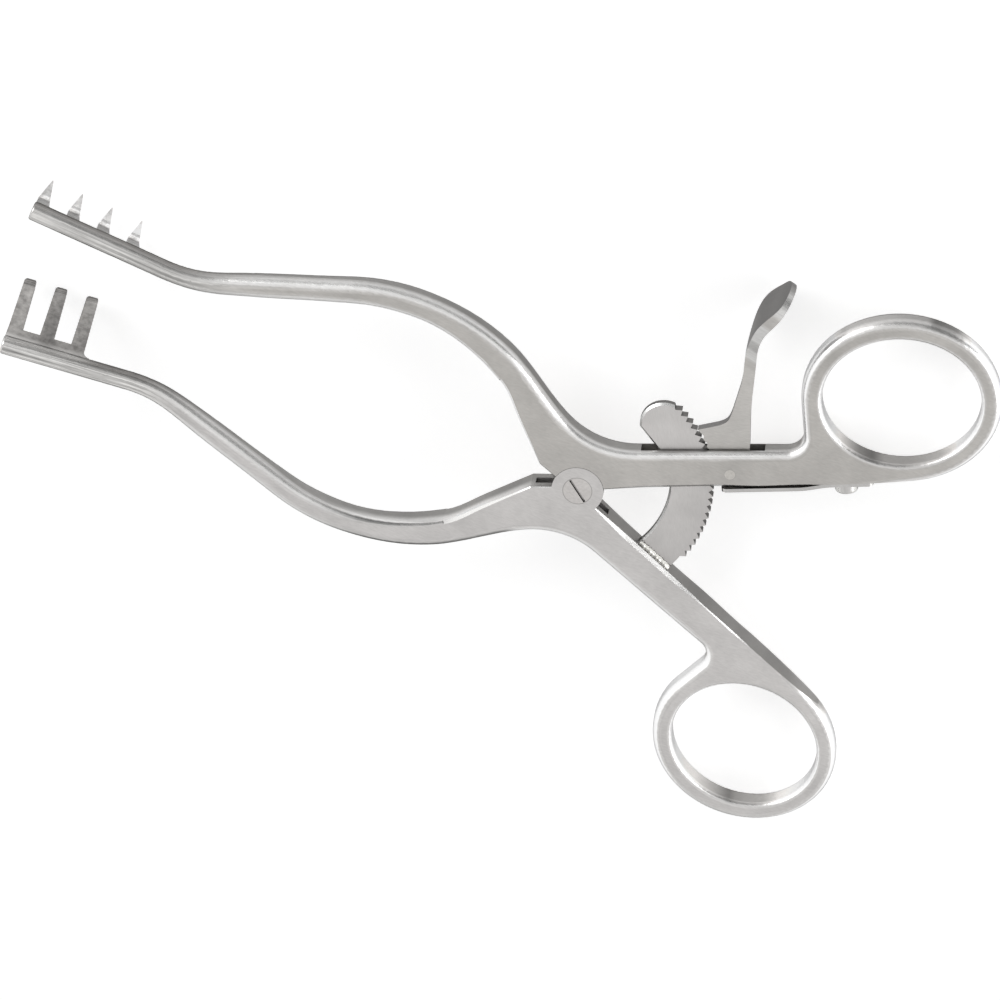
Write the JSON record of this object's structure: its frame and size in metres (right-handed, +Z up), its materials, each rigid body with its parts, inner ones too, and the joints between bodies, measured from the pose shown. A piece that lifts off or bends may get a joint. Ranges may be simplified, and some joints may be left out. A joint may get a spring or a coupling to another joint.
{
  "type": "self retaining retractor",
  "caption": "Self retaining surgical retractor: two hinged arms with finger rings, jaws with sharp bent prongs, a curved toothed locking bar and a sprung release lever.",
  "frame": {"origin": "centre of the bounding box's base, which is the table under the prong tips and the rings", "axes": "+X along the instrument from the jaws to the rings, +Y towards the arm with the release lever, +Z up out of the table"},
  "size_m": [0.1352, 0.0848, 0.0169],
  "materials": {
    "satin_steel": "satin",
    "polished_steel": "polished"
  },
  "bodies": {
    "upper_side": {"upper_arm": "satin_steel", "leaf_spring": "polished_steel", "spring_screw": "polished_steel", "lever_pin": "polished_steel"},
    "lower_side": {"lower_arm": "satin_steel", "ratchet_bar": "satin_steel", "pivot_screw": "polished_steel"},
    "lever": {"release_lever": "satin_steel"}
  },
  "joints": [
    {"name": "arm_spread", "type": "hinge", "parent": "upper_side", "child": "lower_side", "pos_m": [0.01784, 0, 0.00686], "axis": [0.1044, 0, 0.9945], "range_deg": [-8, 44]},
    {"name": "lever_release", "type": "hinge", "parent": "upper_side", "child": "lever", "pos_m": [0.03644, 0.01065, 0.00491], "axis": [0.1044, 0, 0.9945], "range_deg": [-12, 0], "stiffness_Nm_per_rad": 0.16, "springref_deg": 5.73}
  ]
}
